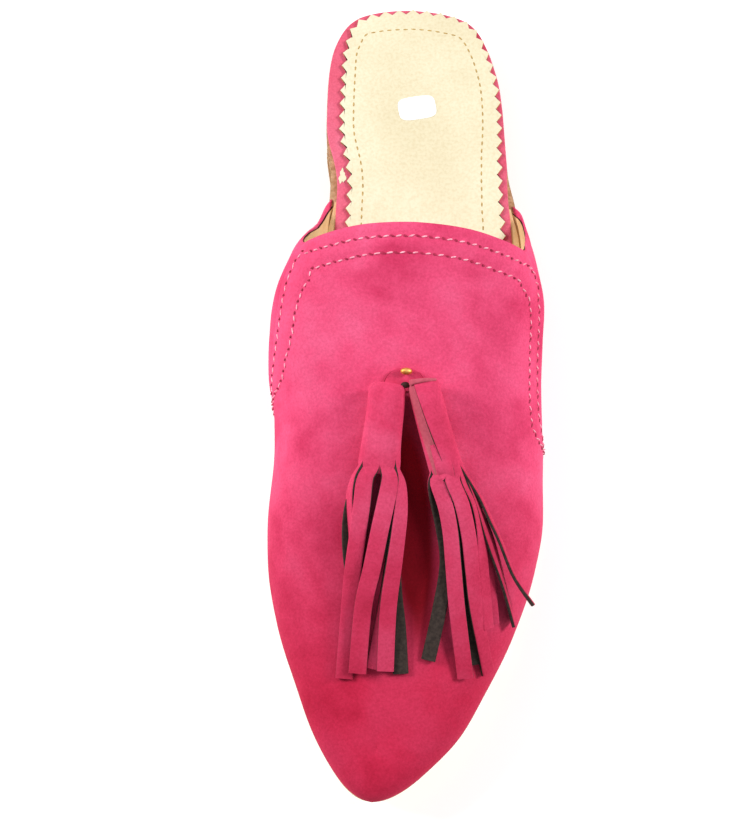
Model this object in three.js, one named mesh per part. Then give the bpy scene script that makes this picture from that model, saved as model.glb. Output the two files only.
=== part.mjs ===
// A pointed babouche mule, left shoe: layered low wedge sole, wrapped insole board with its sock,
// one hollow upper (vamp and two quarter wings), two fringed tassels and a bead.
// Millimetres. The toe points to -Y, the heel to +Y, the outer side of the foot is +X, +Z is up.
// "along" is the distance forward from the back of the heel.
import * as THREE from "three";
import { mergeVertices } from "three/addons/utils/BufferGeometryUtils.js";

// Driving dimensions.
const LENGTH = 265.4;
const GAP = 0.3; // between pieces that touch
const WALL = 2.0; // suede and lining together
const OUTSOLE = 2.6;
const LOWER_MIDSOLE = 4.6; // at the heel
const WEDGE = 4.8; // at the heel
const UPPER_MIDSOLE = 3.4; // at the heel
const UPPER_MIDSOLE_TOE = 1.2;
const THINNEST = 0.45; // where a layer is run out
const INSOLE = 2.6;
const SOCK = 1.1;
const ARCH_RISE = 1.8;
const TOE_SPRING = 7;
const HEEL_FLAT_END = 66; // along, end of the flat under the heel
const BALL_FLAT_START = 146;
const BALL_FLAT_END = 186;
const STACK_FULL_END = 58; // along, where the wedge starts to thin
const STACK_OUT = 168; // along, where the wedge is run out
const FEATHER_INSET = 0.8; // the upper stands this far inside the edge of the sole
const RIM_INSET = 0.8; // the insole board, round the heel
const SOCK_INSET = 3.4;
const SOCK_SHIFT = 1.5; // it lies towards the outer side
const SOCK_END = 226;

// The upper.
const THROAT = 104.8; // along, the top edge over the instep
const WING_END = 73.5; // along, where a wing's top line reaches the sole
const RIDGE_END = 250; // along, front end of the line over the toes
const STATIONS = 34;
const RIB_STEPS = 14;
const BULGE_SHARE = 9 / RIB_STEPS; // share of a rib above its widest point
const TUCK = THREE.MathUtils.degToRad(65); // how far the wall turns in under its widest point

// The tassels, tied through the vamp at the knot.
const KNOT = { along: 147.2, across: 3.8 };
const TASSEL_CLEAR = 0.5; // over the vamp
const TASSEL_SIDES = 14;
const PATCH = { reach: 6.2, depth: 2.6, thick: 1.3, clear: 0.35 };
const BEAD = { radius: 1.2, length: 2.2, hole: 0.45 };

// Outline of the sole, seen from above: middle of its width and half of its width.
const OUTLINE = [
  { along: 0, middle: 0.6, half: 0 },
  { along: 1.5, middle: 0.6, half: 12.6 },
  { along: 4, middle: 0.6, half: 19.2 },
  { along: 8, middle: 0.6, half: 23.4 },
  { along: 13, middle: 0.7, half: 26.0 },
  { along: 20, middle: 1.1, half: 28.3 },
  { along: 30, middle: 2.1, half: 30.0 },
  { along: 40, middle: 2.9, half: 30.6 },
  { along: 50, middle: 3.6, half: 30.8 },
  { along: 62, middle: 5.2, half: 30.4 },
  { along: 75, middle: 6.9, half: 31.7 },
  { along: 90, middle: 7.6, half: 32.8 },
  { along: 105, middle: 7.6, half: 34.2 },
  { along: 125, middle: 6.0, half: 37.4 },
  { along: 145, middle: 5.3, half: 39.9 },
  { along: 165, middle: 5.3, half: 41.3 },
  { along: 180, middle: 5.2, half: 41.3 },
  { along: 195, middle: 4.8, half: 40.0 },
  { along: 215, middle: 4.1, half: 35.4 },
  { along: 234, middle: 3.5, half: 27.7 },
  { along: 245, middle: 2.9, half: 22.5 },
  { along: 256, middle: 1.3, half: 14.5 },
  { along: 262.6, middle: 0.2, half: 7.7 },
  { along: LENGTH, middle: -0.3, half: 0 },
];

// The line over the instep: its height, its place across, and how square the section is.
const RIDGE = [
  { along: 70, height: 27, across: 5.0, fullness: 2.0 },
  { along: 90, height: 51, across: 4.8, fullness: 2.2 },
  { along: 98, height: 60.5, across: 4.6, fullness: 2.35 },
  { along: 104.8, height: 66, across: 4.5, fullness: 2.4 },
  { along: 120, height: 60.6, across: 4.0, fullness: 2.45 },
  { along: 135, height: 55.2, across: 3.5, fullness: 2.45 },
  { along: 150, height: 49.9, across: 3.0, fullness: 2.4 },
  { along: 165, height: 44.6, across: 2.7, fullness: 2.3 },
  { along: 180, height: 39.4, across: 2.5, fullness: 2.25 },
  { along: 195, height: 34.6, across: 2.3, fullness: 2.25 },
  { along: 210, height: 30.3, across: 2.0, fullness: 2.25 },
  { along: 225, height: 26.6, across: 1.7, fullness: 2.3 },
  { along: 240, height: 23.4, across: 1.2, fullness: 2.3 },
  { along: 250, height: 21.2, across: 0.5, fullness: 2.3 },
  { along: LENGTH, height: 17, across: -0.3, fullness: 2.3 },
];

// How far the widest line of the upper stands out past its bottom edge, and how high over the
// sole it runs, on the inner (medial) and outer (lateral) side of the foot.
const BULGE = [
  { along: 70, medialOut: 0.3, medialUp: 6, lateralOut: 0.4, lateralUp: 6 },
  { along: 82, medialOut: 0.8, medialUp: 8, lateralOut: 2.5, lateralUp: 9 },
  { along: 90, medialOut: 2.2, medialUp: 11, lateralOut: 3.8, lateralUp: 11 },
  { along: 97, medialOut: 4.8, medialUp: 14, lateralOut: 4.1, lateralUp: 13 },
  { along: 105, medialOut: 8.0, medialUp: 16, lateralOut: 4.0, lateralUp: 14 },
  { along: 115, medialOut: 9.8, medialUp: 16.5, lateralOut: 4.6, lateralUp: 14 },
  { along: 127, medialOut: 8.4, medialUp: 15, lateralOut: 3.7, lateralUp: 13 },
  { along: 140, medialOut: 6.0, medialUp: 12, lateralOut: 2.8, lateralUp: 11 },
  { along: 152, medialOut: 2.4, medialUp: 9, lateralOut: 2.6, lateralUp: 9 },
  { along: 165, medialOut: 1.0, medialUp: 8, lateralOut: 2.4, lateralUp: 8 },
  { along: 180, medialOut: 1.5, medialUp: 8, lateralOut: 2.8, lateralUp: 8 },
  { along: 200, medialOut: 1.7, medialUp: 7, lateralOut: 2.2, lateralUp: 7 },
  { along: 220, medialOut: 1.2, medialUp: 6, lateralOut: 1.4, lateralUp: 6 },
  { along: 240, medialOut: 1.0, medialUp: 5, lateralOut: 1.0, lateralUp: 5 },
  { along: 253, medialOut: 0.9, medialUp: 4, lateralOut: 0.9, lateralUp: 4 },
  { along: LENGTH, medialOut: 0.8, medialUp: 3, lateralOut: 0.8, lateralUp: 3 },
];

// The top line of the wings: rib is the place on a rib, from the ridge to the bottom edge, and
// share is how far the line has gone from the throat to the wing's end.
const TOP_LINE = [
  { rib: 0, share: 0 },
  { rib: 0.13, share: -0.02 },
  { rib: 0.26, share: -0.05 },
  { rib: 0.36, share: -0.06 },
  { rib: 0.41, share: -0.03 },
  { rib: 0.46, share: 0.1 },
  { rib: 0.52, share: 0.27 },
  { rib: 0.64, share: 0.56 },
  { rib: 0.82, share: 0.83 },
  { rib: 1, share: 1 },
];

// Middle, width and thickness of each tassel, from its rolled head to the ends of its strands.
const TASSELS = {
  tassel_medial: [
    { along: 149.4, across: -1.8, width: 9.2, thick: 6.8 },
    { along: 158, across: -2.4, width: 10.4, thick: 8.0 },
    { along: 168, across: -3.0, width: 12.4, thick: 8.4 },
    { along: 177, across: -3.3, width: 14.6, thick: 8.4 },
    { along: 190, across: -3.2, width: 16.6, thick: 8.0 },
    { along: 205, across: -2.8, width: 18.4, thick: 7.2 },
    { along: 219, across: -2.0, width: 19.8, thick: 6.2 },
    { along: 231, across: -1.4, width: 20.2, thick: 5.0 },
  ],
  tassel_lateral: [
    { along: 149.0, across: 10.6, width: 8.2, thick: 6.8 },
    { along: 157, across: 12.4, width: 9.6, thick: 8.0 },
    { along: 166, across: 14.9, width: 11.2, thick: 8.4 },
    { along: 175, across: 17.7, width: 13.2, thick: 8.4 },
    { along: 188, across: 20.9, width: 16.6, thick: 8.0 },
    { along: 202, across: 24.0, width: 21.0, thick: 7.2 },
    { along: 215, across: 25.4, width: 23.0, thick: 6.2 },
    { along: 228, across: 24.0, width: 21.0, thick: 5.0 },
  ],
};

const smooth = (from, to, v) => THREE.MathUtils.smoothstep(v, from, to);
const mix = THREE.MathUtils.lerp;

// A smooth curve through one column of a table, without overshoot between its rows.
function column(table, key, place = "along") {
  const x = table.map((row) => row[place]);
  const y = table.map(typeof key === "function" ? key : (row) => row[key]);
  const slope = x.slice(1).map((v, i) => (y[i + 1] - y[i]) / (v - x[i]));
  const tangent = x.map((_, i) => {
    const before = slope[Math.max(i - 1, 0)];
    const after = slope[Math.min(i, slope.length - 1)];
    return before * after <= 0 ? 0 : (2 * before * after) / (before + after);
  });
  return (v) => {
    const at = THREE.MathUtils.clamp(v, x[0], x[x.length - 1]);
    const i = Math.min(Math.max(x.findLastIndex((e) => e <= at), 0), slope.length - 1);
    const step = x[i + 1] - x[i];
    const t = (at - x[i]) / step;
    const rise = t * t * (3 - 2 * t);
    return (
      mix(y[i], y[i + 1], rise) +
      step * t * (1 - t) * ((1 - t) * tangent[i] - t * tangent[i + 1])
    );
  };
}

const middle = column(OUTLINE, "middle");
const halfSquared = column(OUTLINE, (row) => row.half * row.half);
const half = (along) => Math.sqrt(Math.max(halfSquared(along), 0));
const ridgeHeight = column(RIDGE, "height");
const ridgeAcross = column(RIDGE, "across");
const fullness = column(RIDGE, "fullness");
const topLine = column(TOP_LINE, "share", "rib");
const SIDES = [
  { sign: -1, out: column(BULGE, "medialOut"), up: column(BULGE, "medialUp") },
  { sign: 1, out: column(BULGE, "lateralOut"), up: column(BULGE, "lateralUp") },
];

// Heights of the faces of the sole, each at a place along the shoe.
function soleBottom(along) {
  const waist = smooth(HEEL_FLAT_END, 106, along) * (1 - smooth(106, BALL_FLAT_START, along));
  const spring = Math.max(along - BALL_FLAT_END, 0) / (LENGTH - BALL_FLAT_END);
  return ARCH_RISE * waist + TOE_SPRING * spring ** 1.8;
}
const stack = (along) => 1 - smooth(STACK_FULL_END, STACK_OUT, along);
const outsoleTop = (along) => soleBottom(along) + OUTSOLE;
const lowerTop = (along) => outsoleTop(along) + (LOWER_MIDSOLE + GAP) * stack(along);
const wedgeTop = (along) => lowerTop(along) + (WEDGE + GAP) * stack(along);
const soleTop = (along) =>
  wedgeTop(along) + GAP + mix(UPPER_MIDSOLE_TOE, UPPER_MIDSOLE, stack(along));
const insoleTop = (along) => soleTop(along) + GAP + INSOLE;

// The insole board fills the width inside the upper, and nearly the whole sole round the heel.
const insoleInset = (along) =>
  mix(RIM_INSET, FEATHER_INSET + WALL + 2 * GAP, smooth(62, WING_END, along));

const place = (across, along, height) => new THREE.Vector3(across, LENGTH / 2 - along, height);

// A closed mesh from corner points and four-sided or three-sided faces, its faces turned outwards.
function closed(points, faces) {
  const flat = faces.flatMap((face) =>
    face.length === 4 ? [face[0], face[1], face[2], face[0], face[2], face[3]] : face,
  );
  const soup = new THREE.BufferGeometry();
  soup.setAttribute(
    "position",
    new THREE.Float32BufferAttribute(points.flatMap((p) => [p.x, p.y, p.z]), 3),
  );
  soup.setIndex(flat);
  const merged = mergeVertices(soup, 1e-3);
  const old = merged.index.array;
  const kept = [];
  for (let i = 0; i < old.length; i += 3) {
    const [a, b, c] = [old[i], old[i + 1], old[i + 2]];
    if (a !== b && b !== c && c !== a) kept.push(a, b, c);
  }
  const at = (i) => new THREE.Vector3().fromBufferAttribute(merged.attributes.position, i);
  let volume = 0;
  for (let i = 0; i < kept.length; i += 3)
    volume += at(kept[i]).dot(at(kept[i + 1]).cross(at(kept[i + 2])));
  if (volume < 0)
    for (let i = 0; i < kept.length; i += 3) [kept[i], kept[i + 1]] = [kept[i + 1], kept[i]];
  merged.setIndex(kept);
  return merged;
}

// Rings of equal length joined one after the next, with a flat face at each end.
function loft(rings) {
  const count = rings[0].length;
  const faces = [];
  for (let i = 0; i < rings.length - 1; i++)
    for (let j = 0; j < count; j++) {
      const next = (j + 1) % count;
      faces.push([i * count + j, i * count + next, (i + 1) * count + next, (i + 1) * count + j]);
    }
  const last = (rings.length - 1) * count;
  for (let j = 1; j < count - 1; j++) {
    faces.push([0, j + 1, j]);
    faces.push([last, last + j, last + j + 1]);
  }
  return closed(rings.flat(), faces);
}

// One layer of the sole: the outline less an inset, between two heights.
function layer({ inset, bottom, top, from = 0, to = LENGTH, shift = 0, steps = 44 }) {
  const insetAt = typeof inset === "function" ? inset : () => inset;
  const start = from > 0 ? from : insetAt(0) + 0.12;
  const end = to < LENGTH ? to : LENGTH - insetAt(LENGTH) - 0.12;
  const rings = Array.from({ length: steps + 1 }, (_, i) => {
    const turn = i / steps;
    const along = mix(start, end, (1 - Math.cos(Math.PI * turn)) / 2);
    // The inset runs square to the edge, so towards the round ends it comes off the length.
    const off = insetAt(along);
    const shrink = LENGTH / (LENGTH - 2 * off);
    const across = Math.max(half(LENGTH / 2 + (along - LENGTH / 2) * shrink) - off, 1.2);
    const centre = middle(along) + shift;
    const corner = (sign, height) => place(centre + sign * across, along, height(along));
    return [corner(-1, bottom), corner(1, bottom), corner(1, top), corner(-1, top)];
  });
  return loft(rings);
}

// Where a layer that is run out towards the ball is still THINNEST thick.
function runOut(thickness) {
  let along = STACK_OUT;
  while (thickness(along) < THINNEST) along -= 0.5;
  return along;
}

// A point of the upper. station runs from 0, the top line, to 1, the tip of the toe; t runs from
// 0 on the ridge to 1 at the bottom edge; inward is the depth below the outer face.
function upperPoint(station, side, t, inward) {
  const ridgeAlong = mix(THROAT, RIDGE_END, station);
  const wing = Math.max(1 - station / 0.35, 0) ** 2;
  const nose = Math.max((station - 0.55) / 0.45, 0) ** 2;
  const footAlong =
    ridgeAlong - (THROAT - WING_END) * wing + (LENGTH - FEATHER_INSET - RIDGE_END) * nose;
  // Behind the ball a rib follows the top line; round the toe it is a straight fan.
  const fan = smooth(0.4, 0.55, station);
  const wingAlong = mix(ridgeAlong, footAlong, topLine(t));
  const sectionAlong = mix(wingAlong, footAlong, fan);
  const crownAlong = mix(wingAlong, ridgeAlong, fan);
  const tip = footAlong >= LENGTH - FEATHER_INSET - 1e-6;
  const footHalf = tip ? 0 : Math.max(half(sectionAlong + FEATHER_INSET * nose) - FEATHER_INSET, 0);
  const foot = middle(sectionAlong) + side.sign * footHalf;
  const crown = ridgeAcross(crownAlong);
  const run = Math.hypot(foot - crown, (footAlong - ridgeAlong) * fan);
  const out = side.out(sectionAlong);
  const low = soleTop(sectionAlong) + GAP;
  const widest = low + side.up(sectionAlong);
  const high = ridgeHeight(crownAlong) - inward;
  const power = 2 / fullness(crownAlong);
  let reach;
  let height;
  if (t <= BULGE_SHARE) {
    const angle = (Math.PI / 2) * (t / BULGE_SHARE);
    reach = (run + out) * Math.sin(angle) ** power;
    height = widest + (high - widest) * Math.max(Math.cos(angle), 0) ** power;
  } else {
    const angle = TUCK * ((t - BULGE_SHARE) / (1 - BULGE_SHARE));
    reach = run + (out * (Math.cos(angle) - Math.cos(TUCK))) / (1 - Math.cos(TUCK));
    height = widest - ((widest - low) * Math.sin(angle)) / Math.sin(TUCK);
  }
  const share = (reach * (1 - inward / (run + out))) / run;
  const along = mix(wingAlong, mix(ridgeAlong, footAlong, share), fan);
  return place(mix(crown, foot, share), along, height);
}

// The upper is one wall: an outer face and an inner face, joined along the top line and along
// the bottom edge, where the sole closes it.
function upper() {
  const width = 2 * RIB_STEPS + 1;
  const skin = (inward) =>
    Array.from({ length: STATIONS + 1 }, (_, i) => {
      const station = 1 - (1 - i / STATIONS) ** 1.6;
      return Array.from({ length: width }, (_, j) => {
        const side = SIDES[j < RIB_STEPS ? 0 : 1];
        return upperPoint(station, side, Math.abs(j - RIB_STEPS) / RIB_STEPS, inward);
      });
    });
  const points = [...skin(0).flat(), ...skin(WALL).flat()];
  const inner = (STATIONS + 1) * width;
  const faces = [];
  for (let i = 0; i < STATIONS; i++) {
    for (let j = 0; j < width - 1; j++) {
      const a = i * width + j;
      const quad = [a, a + 1, a + 1 + width, a + width];
      faces.push(quad, [...quad].reverse().map((v) => v + inner));
    }
    const left = i * width;
    const right = left + width - 1;
    faces.push([left, left + width, left + width + inner, left + inner]);
    faces.push([right, right + inner, right + width + inner, right + width]);
  }
  for (let j = 0; j < width - 1; j++) faces.push([j, j + inner, j + 1 + inner, j + 1]);
  return closed(points, faces);
}

// The outer face of the vamp under a point seen from above, and the direction square to it.
function vampPoint(across, along) {
  const crown = ridgeAcross(along);
  const side = SIDES[across < crown ? 0 : 1];
  const foot = middle(along) + side.sign * (half(along) - FEATHER_INSET);
  const power = 2 / fullness(along);
  const share = Math.min(Math.abs(across - crown) / (Math.abs(foot - crown) + side.out(along)), 1);
  const angle = Math.asin(share ** (1 / power));
  const widest = soleTop(along) + GAP + side.up(along);
  const rise = (ridgeHeight(along) - widest) * Math.max(Math.cos(angle), 0) ** power;
  return place(across, along, widest + rise);
}
function vampNormal(across, along) {
  const step = 0.5;
  const sideways = vampPoint(across + step, along).sub(vampPoint(across - step, along));
  const forward = vampPoint(across, along + step).sub(vampPoint(across, along - step));
  return forward.cross(sideways).normalize();
}

// A tassel lies on the vamp: each section stands square to its run and to the vamp under it.
function tassel(rows) {
  const spine = rows.map((row) => {
    const up = vampNormal(row.across, row.along);
    const lift = TASSEL_CLEAR + row.thick / 2;
    return { ...row, up, at: vampPoint(row.across, row.along).addScaledVector(up, lift) };
  });
  return loft(
    spine.map((row, i) => {
      const before = spine[Math.max(i - 1, 0)].at;
      const after = spine[Math.min(i + 1, spine.length - 1)].at;
      const sideways = after.clone().sub(before).cross(row.up).normalize();
      return Array.from({ length: TASSEL_SIDES }, (_, j) => {
        const turn = (2 * Math.PI * j) / TASSEL_SIDES;
        return row.at
          .clone()
          .addScaledVector(sideways, (row.width / 2) * Math.cos(turn))
          .addScaledVector(row.up, (row.thick / 2) * Math.sin(turn));
      });
    }),
  );
}

// A matrix that stands a piece on the vamp at the knot: its X across, its Z out of the vamp.
function atKnot(lift) {
  const up = vampNormal(KNOT.across, KNOT.along);
  const sideways = new THREE.Vector3(1, 0, 0).addScaledVector(up, -up.x).normalize();
  const frame = new THREE.Matrix4().makeBasis(sideways, up.clone().cross(sideways), up);
  return frame.setPosition(vampPoint(KNOT.across, KNOT.along).addScaledVector(up, lift));
}

// The suede patch under the knot: a flat piece with a straight front and a round back.
function patch() {
  const outline = new THREE.Shape();
  outline.moveTo(-PATCH.reach, 0);
  outline.lineTo(PATCH.reach, 0);
  outline.absellipse(0, 0, PATCH.reach, PATCH.depth, 0, Math.PI);
  const solid = new THREE.ExtrudeGeometry(outline, {
    depth: PATCH.thick,
    bevelEnabled: false,
    curveSegments: 8,
  });
  return solid.applyMatrix4(atKnot(PATCH.clear));
}

// The bead is a short barrel with a hole, lying across the shoe.
function bead() {
  const end = BEAD.length / 2;
  const profile = [
    new THREE.Vector2(BEAD.hole, -end),
    new THREE.Vector2(BEAD.radius * 0.75, -end),
    new THREE.Vector2(BEAD.radius, -end / 3),
    new THREE.Vector2(BEAD.radius, end / 3),
    new THREE.Vector2(BEAD.radius * 0.75, end),
    new THREE.Vector2(BEAD.hole, end),
    new THREE.Vector2(BEAD.hole, -end),
  ];
  const barrel = new THREE.LatheGeometry(profile, 16).rotateZ(Math.PI / 2);
  barrel.translate(0, PATCH.depth / 2, 0);
  return barrel.applyMatrix4(atKnot(PATCH.clear + PATCH.thick + GAP + BEAD.radius));
}

const SUEDE = { color: "#d83f6c", roughness: 0.95, metalness: 0 };
const BROWN = { color: "#7d4e2a", roughness: 0.7, metalness: 0 };
const TAN = { color: "#bf9c78", roughness: 0.9, metalness: 0 };
const CREPE = { color: "#96733f", roughness: 0.85, metalness: 0 };
const CREAM = { color: "#f3dcb3", roughness: 0.6, metalness: 0 };
const BRASS = { color: "#c79a4b", roughness: 0.3, metalness: 1 };

const slipper = new THREE.Group();

function add(name, geometry, finish) {
  const mesh = new THREE.Mesh(geometry, new THREE.MeshStandardMaterial(finish));
  mesh.name = name;
  slipper.add(mesh);
}

add("outsole", layer({ inset: 0, bottom: soleBottom, top: outsoleTop }), CREPE);
add(
  "midsole_lower",
  layer({
    inset: 0.3,
    bottom: (v) => outsoleTop(v) + GAP,
    top: lowerTop,
    to: runOut((v) => lowerTop(v) - outsoleTop(v) - GAP),
  }),
  BROWN,
);
add(
  "heel_wedge",
  layer({
    inset: 0.3,
    bottom: (v) => lowerTop(v) + GAP,
    top: wedgeTop,
    to: runOut((v) => wedgeTop(v) - lowerTop(v) - GAP),
  }),
  TAN,
);
add(
  "midsole_upper",
  layer({ inset: 0.2, bottom: (v) => wedgeTop(v) + GAP, top: soleTop }),
  BROWN,
);
add(
  "insole_board",
  layer({ inset: insoleInset, bottom: (v) => soleTop(v) + GAP, top: insoleTop }),
  SUEDE,
);
add(
  "sock",
  layer({
    inset: SOCK_INSET,
    bottom: (v) => insoleTop(v) + GAP,
    top: (v) => insoleTop(v) + GAP + SOCK,
    to: SOCK_END,
    shift: SOCK_SHIFT,
  }),
  CREAM,
);
add("upper", upper(), SUEDE);
for (const [name, rows] of Object.entries(TASSELS)) add(name, tassel(rows), SUEDE);
add("tassel_patch", patch(), SUEDE);
add("bead", bead(), BRASS);

// The origin is the middle of the bottom of the whole slipper's box.
const box = new THREE.Box3().setFromObject(slipper);
slipper.position.set(-(box.min.x + box.max.x) / 2, -(box.min.y + box.max.y) / 2, -box.min.z);

export default slipper;
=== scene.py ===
"""The look of a pointed babouche mule, left shoe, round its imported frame.

Shoe sizes are millimetres: across (outer side of the foot positive), along (forward from the back of
the heel) and height. The row frame is metres, with the toe towards -Y and the outer side towards +X.
"""

import math
import random

import bmesh
import bpy
from mathutils import Matrix, Vector
from mathutils.bvhtree import BVHTree
from mathutils.kdtree import KDTree

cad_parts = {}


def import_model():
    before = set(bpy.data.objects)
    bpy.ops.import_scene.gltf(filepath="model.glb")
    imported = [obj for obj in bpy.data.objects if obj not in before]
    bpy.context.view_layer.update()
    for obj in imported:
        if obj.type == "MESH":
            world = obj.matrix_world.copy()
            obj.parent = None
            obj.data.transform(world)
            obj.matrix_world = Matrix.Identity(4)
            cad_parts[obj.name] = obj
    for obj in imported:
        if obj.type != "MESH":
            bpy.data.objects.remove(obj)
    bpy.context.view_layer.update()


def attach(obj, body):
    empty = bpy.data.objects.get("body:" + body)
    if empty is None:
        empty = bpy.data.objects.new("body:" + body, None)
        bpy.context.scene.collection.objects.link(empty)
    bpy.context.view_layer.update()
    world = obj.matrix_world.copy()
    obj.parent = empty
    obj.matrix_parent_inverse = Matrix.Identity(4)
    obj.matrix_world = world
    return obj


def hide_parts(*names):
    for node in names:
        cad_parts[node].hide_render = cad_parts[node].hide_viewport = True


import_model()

MM = 0.001
ACROSS_SHIFT, ALONG_SHIFT = -4.5, 0.06  # from the tables' middle line to the middle of the box
LENGTH = 265.4


def table(columns, *rows):
    return [dict(zip(columns.split(), row)) for row in rows]


def mix(a, b, share):
    return a + (b - a) * share


def clamp(value, low=0.0, high=1.0):
    return max(low, min(high, value))


def smooth(start, end, value):
    t = clamp((value - start) / (end - start))
    return t * t * (3 - 2 * t)


def column(rows, key, by="along", steps=1400):
    """A smooth curve through one column of a table, without overshoot, as a looked-up function."""
    x = [row[by] for row in rows]
    y = [row[key] for row in rows]
    slope = [(y[i + 1] - y[i]) / (x[i + 1] - x[i]) for i in range(len(x) - 1)]
    tangent = []
    for i in range(len(x)):
        before, after = slope[max(i - 1, 0)], slope[min(i, len(slope) - 1)]
        tangent.append(0 if before * after <= 0 else 2 * before * after / (before + after))

    def exact(value):
        i = max(k for k in range(len(slope)) if x[k] <= value or k == 0)
        step = x[i + 1] - x[i]
        t = (value - x[i]) / step
        rise = mix(y[i], y[i + 1], t * t * (3 - 2 * t))
        return rise + step * t * (1 - t) * ((1 - t) * tangent[i] - t * tangent[i + 1])

    low, high = x[0], x[-1]
    known = [exact(mix(low, high, k / steps)) for k in range(steps + 1)]

    def curve(value):
        place = clamp((value - low) / (high - low)) * steps
        k = min(int(place), steps - 1)
        return mix(known[k], known[k + 1], place - k)

    return curve


def on_sides(rows, by="along"):
    """The curves of a table's columns for the inner side, -1, and the outer side, 1."""
    return {-1: column(rows, "medial", by), 1: column(rows, "lateral", by)}


# ---- the shoe's sizes, as in its solids ----
OUTSOLE, LOWER_MIDSOLE, WEDGE, INSOLE = 2.6, 4.9, 5.1, 2.6
UPPER_MIDSOLE, UPPER_MIDSOLE_TOE, GAP = 3.4, 1.2, 0.3
FEATHER_INSET, THROAT, WING_END, RIDGE_END = 0.8, 104.8, 73.5, 250
BULGE_SHARE, TUCK = 9 / 14, math.radians(65)

OUTLINE = table(
    "along middle half",
    (0, 0.6, 0), (1.5, 0.6, 12.6), (4, 0.6, 19.2), (8, 0.6, 23.4), (13, 0.7, 26.0), (20, 1.1, 28.3),
    (30, 2.1, 30.0), (40, 2.9, 30.6), (50, 3.6, 30.8), (62, 5.2, 30.4), (75, 6.9, 31.7),
    (90, 7.6, 32.8), (105, 7.6, 34.2), (125, 6.0, 37.4), (145, 5.3, 39.9), (165, 5.3, 41.3),
    (180, 5.2, 41.3), (195, 4.8, 40.0), (215, 4.1, 35.4), (234, 3.5, 27.7), (245, 2.9, 22.5),
    (256, 1.3, 14.5), (262.6, 0.2, 7.7), (LENGTH, -0.3, 0),
)
RIDGE = table(
    "along height across fullness",
    (70, 27, 5.0, 2.0), (90, 51, 4.8, 2.2), (98, 60.5, 4.6, 2.35), (104.8, 66, 4.5, 2.4),
    (120, 60.6, 4.0, 2.45), (135, 55.2, 3.5, 2.45), (150, 49.9, 3.0, 2.4), (165, 44.6, 2.7, 2.3),
    (180, 39.4, 2.5, 2.25), (195, 34.6, 2.3, 2.25), (210, 30.3, 2.0, 2.25), (225, 26.6, 1.7, 2.3),
    (240, 23.4, 1.2, 2.3), (250, 21.2, 0.5, 2.3), (LENGTH, 17, -0.3, 2.3),
)
BULGE = table(
    "along medial_out medial_up lateral_out lateral_up",
    (70, 0.3, 6, 0.4, 6), (82, 0.8, 8, 2.5, 9), (90, 2.2, 11, 3.8, 11), (97, 4.8, 14, 4.1, 13),
    (105, 8.0, 16, 4.0, 14), (115, 9.8, 16.5, 4.6, 14), (127, 8.4, 15, 3.7, 13),
    (140, 6, 12, 2.8, 11), (152, 2.4, 9, 2.6, 9), (165, 1, 8, 2.4, 8), (180, 1.5, 8, 2.8, 8),
    (200, 1.7, 7, 2.2, 7), (220, 1.2, 6, 1.4, 6), (240, 1, 5, 1, 5), (253, 0.9, 4, 0.9, 4),
    (LENGTH, 0.8, 3, 0.8, 3),
)
TOP_LINE = table(
    "rib share",
    (0, 0), (0.13, -0.02), (0.26, -0.05), (0.36, -0.06), (0.41, -0.03), (0.46, 0.1), (0.52, 0.27),
    (0.64, 0.56), (0.82, 0.83), (1, 1),
)
# How far the top edge leans out (in, where under 0), which dies out a little way down the wall.
LEAN = table(
    "rib medial lateral",
    (0, 0, 0), (0.36, 0, 0), (0.43, 0, -1.6), (0.5, 0.3, -2.9), (0.56, 0.9, -2.9), (0.63, 1.4, -2.2),
    (0.7, 1.6, -1.2), (0.8, 1.4, 0.2), (0.9, 0.9, 0.8), (1, 0, 0),
)

for row in OUTLINE:
    row["half_squared"] = row["half"] ** 2
middle = column(OUTLINE, "middle")
half_squared = column(OUTLINE, "half_squared", steps=5000)
ridge_height, ridge_across = column(RIDGE, "height"), column(RIDGE, "across")
fullness = column(RIDGE, "fullness")
top_line = column(TOP_LINE, "share", by="rib")
SIDES = {
    -1: (column(BULGE, "medial_out"), column(BULGE, "medial_up")),
    1: (column(BULGE, "lateral_out"), column(BULGE, "lateral_up")),
}
lean = on_sides(LEAN, by="rib")


def half(along):
    return math.sqrt(max(half_squared(along), 0))


def sole_bottom(along):
    waist = smooth(66, 106, along) * (1 - smooth(106, 146, along))
    return 1.8 * waist + 7 * max((along - 186) / (LENGTH - 186), 0) ** 1.8


def stack(along):
    """How much of the wedge is left under a place: 1 under the heel, 0 from the ball on."""
    return 1 - smooth(58, 168, along)


def outsole_top(along):
    return sole_bottom(along) + OUTSOLE


def lower_top(along):
    return outsole_top(along) + LOWER_MIDSOLE * stack(along)


def wedge_top(along):
    return lower_top(along) + WEDGE * stack(along)


def sole_top(along):
    return wedge_top(along) + GAP + mix(UPPER_MIDSOLE_TOE, UPPER_MIDSOLE, stack(along))


def insole_top(along):
    return sole_top(along) + GAP + INSOLE


def world(across, along, height):
    return Vector((across + ACROSS_SHIFT, LENGTH / 2 - along + ALONG_SHIFT, height)) * MM


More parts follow.
